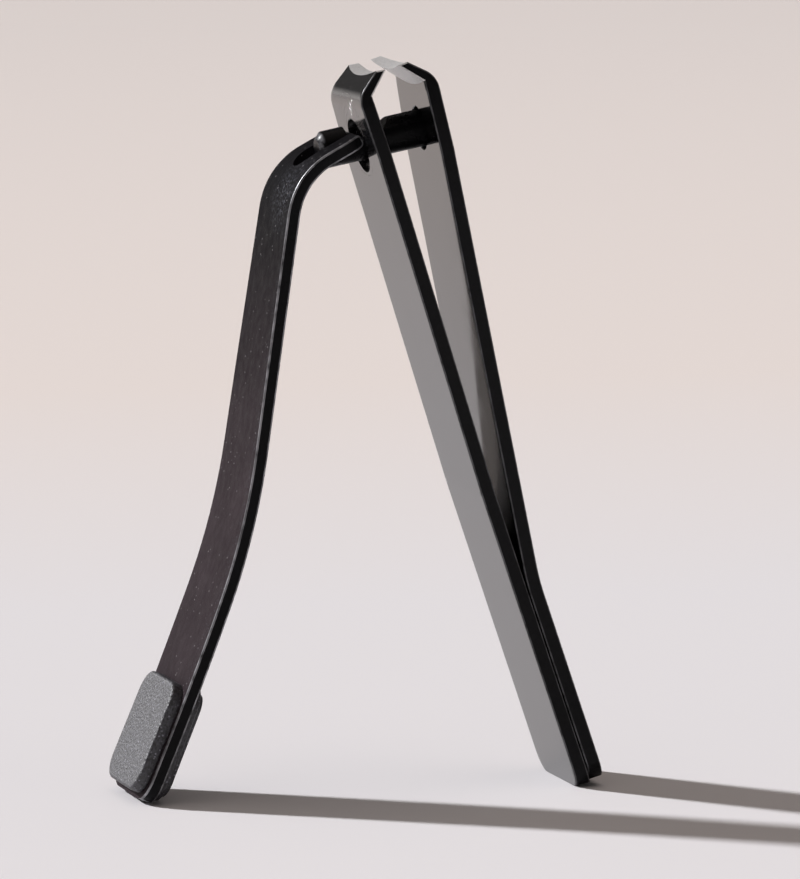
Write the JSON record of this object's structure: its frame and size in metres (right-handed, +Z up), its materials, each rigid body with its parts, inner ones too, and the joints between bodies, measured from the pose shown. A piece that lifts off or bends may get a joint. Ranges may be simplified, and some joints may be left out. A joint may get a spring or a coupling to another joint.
{
  "type": "nail clipper",
  "caption": "Large lever nail clipper with sprung blade arms, curved cutting jaws, a turning pin and a slotted lever with grip pads, stored standing open as an A-frame.",
  "frame": {"origin": "on the ground, under the middle of the bounding box", "axes": "+Z up, +X from the lever's foot towards the rear end of the blade arms, +Y across the width"},
  "size_m": [0.053, 0.0152, 0.08],
  "materials": {
    "arm_steel": "gloss black",
    "lever_steel": "satin charcoal",
    "pin_steel": "satin black",
    "pad_rubber": "matte"
  },
  "bodies": {
    "lower_arm": {"lower_arm": "arm_steel"},
    "upper_arm": {"upper_arm": "arm_steel"},
    "pin": {"pin": "pin_steel"},
    "lever": {"lever": "lever_steel", "outer_grip_pad": "pad_rubber", "inner_grip_pad": "pad_rubber"}
  },
  "joints": [
    {"name": "pin_turn", "type": "hinge", "parent": "lower_arm", "child": "pin", "pos_m": [0.00879, 0, 0.07277], "axis": [-0.9796, 0, -0.2011], "continuous": true},
    {"name": "lever_press", "type": "hinge", "parent": "pin", "child": "lever", "pos_m": [-0.00069, 0, 0.07164], "axis": [0, -1, 0], "range_deg": [0, 28]},
    {"name": "jaw_close", "type": "hinge", "parent": "lower_arm", "child": "upper_arm", "pos_m": [0.01738, 0, 0.02288], "axis": [0, 1, 0], "range_deg": [0, 1.26], "stiffness_Nm_per_rad": 75}
  ],
  "couplings": [
    {"joint": "jaw_close", "follows": "lever_press", "ratio": 0.0446}
  ]
}
